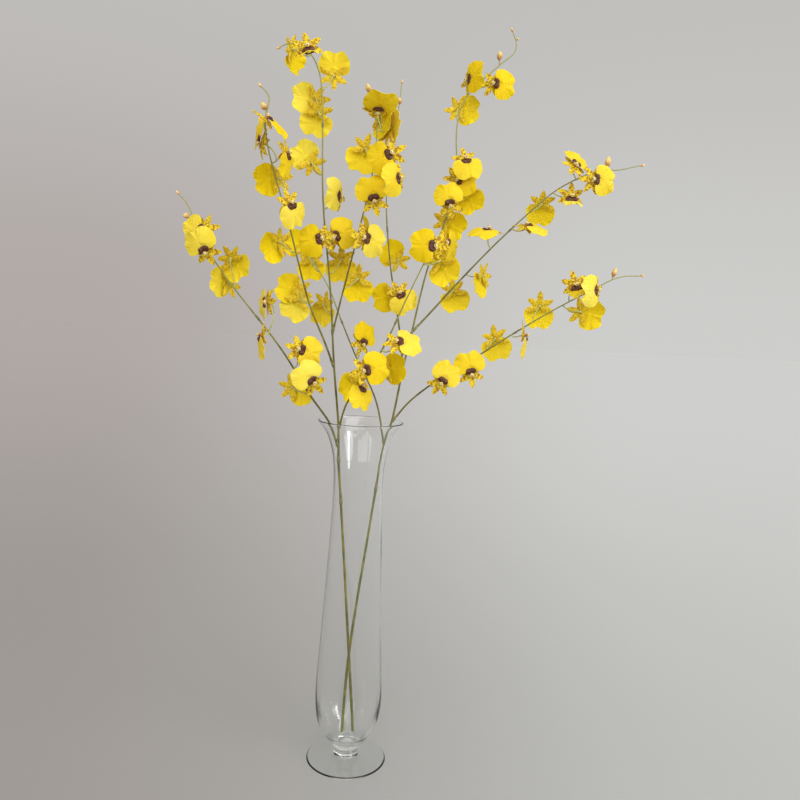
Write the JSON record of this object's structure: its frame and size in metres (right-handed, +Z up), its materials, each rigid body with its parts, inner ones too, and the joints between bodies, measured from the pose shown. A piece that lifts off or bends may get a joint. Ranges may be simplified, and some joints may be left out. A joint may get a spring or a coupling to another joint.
{
  "type": "oncidium orchid",
  "caption": "Cut, branching sprays of yellow dancing-lady orchid blooms with mottled tepals and broad lips, arching out of a tall footed clear glass vase.",
  "frame": {"origin": "centre of the vase's underside, on the vase's axis", "axes": "+Z up along the vase's axis and the sprays, -Y towards the front that the picture shows, +X to the right seen from the front"},
  "size_m": [0.6325, 0.2524, 1.0719],
  "materials": {
    "glass": "clear, thin, polished glass",
    "stem": "smooth olive-green flower stem with pale sheaths and buds",
    "petal": "soft, satin, bright yellow petals mottled red-brown"
  },
  "bodies": {
    "root": {"left_cross_bloom_1": "petal", "left_cross_bloom_2": "petal", "left_cross_bloom_3": "petal", "left_cross_bloom_4": "petal", "left_cross_bloom_5": "petal", "left_cross_bloom_6": "petal", "left_inner_bloom_1": "petal", "left_inner_bloom_2": "petal", "left_inner_bloom_3": "petal", "left_inner_bloom_4": "petal", "left_inner_bloom_5": "petal", "left_inner_bloom_6": "petal", "left_lean_bloom_1": "petal", "left_lean_bloom_2": "petal", "left_lean_bloom_3": "petal", "left_lean_bloom_4": "petal", "left_lean_bloom_5": "petal", "left_low_bloom_1": "petal", "left_low_bloom_2": "petal", "left_low_bloom_3": "petal", "left_low_bloom_4": "petal", "left_low_bloom_5": "petal", "left_main_bloom_1": "petal", "left_main_bloom_2": "petal", "left_main_bloom_3": "petal", "left_main_bloom_4": "petal", "left_main_bloom_5": "petal", "left_main_bloom_6": "petal", "left_main_bloom_7": "petal", "left_main_bloom_8": "petal", "left_spray_stem": "stem", "right_back_bloom_1": "petal", "right_back_bloom_2": "petal", "right_high_bloom_1": "petal", "right_high_bloom_2": "petal", "right_high_bloom_3": "petal", "right_high_bloom_4": "petal", "right_high_bloom_5": "petal", "right_high_bloom_6": "petal", "right_high_bloom_7": "petal", "right_low_bloom_1": "petal", "right_low_bloom_2": "petal", "right_low_bloom_3": "petal", "right_low_bloom_4": "petal", "right_low_bloom_5": "petal", "right_low_bloom_6": "petal", "right_low_bloom_7": "petal", "right_low_bloom_8": "petal", "right_main_bloom_1": "petal", "right_main_bloom_2": "petal", "right_main_bloom_3": "petal", "right_main_bloom_4": "petal", "right_main_bloom_5": "petal", "right_main_bloom_6": "petal", "right_main_bloom_7": "petal", "right_rear_bloom_1": "petal", "right_rear_bloom_2": "petal", "right_spray_stem": "stem", "vase": "glass"}
  },
  "joints": []
}
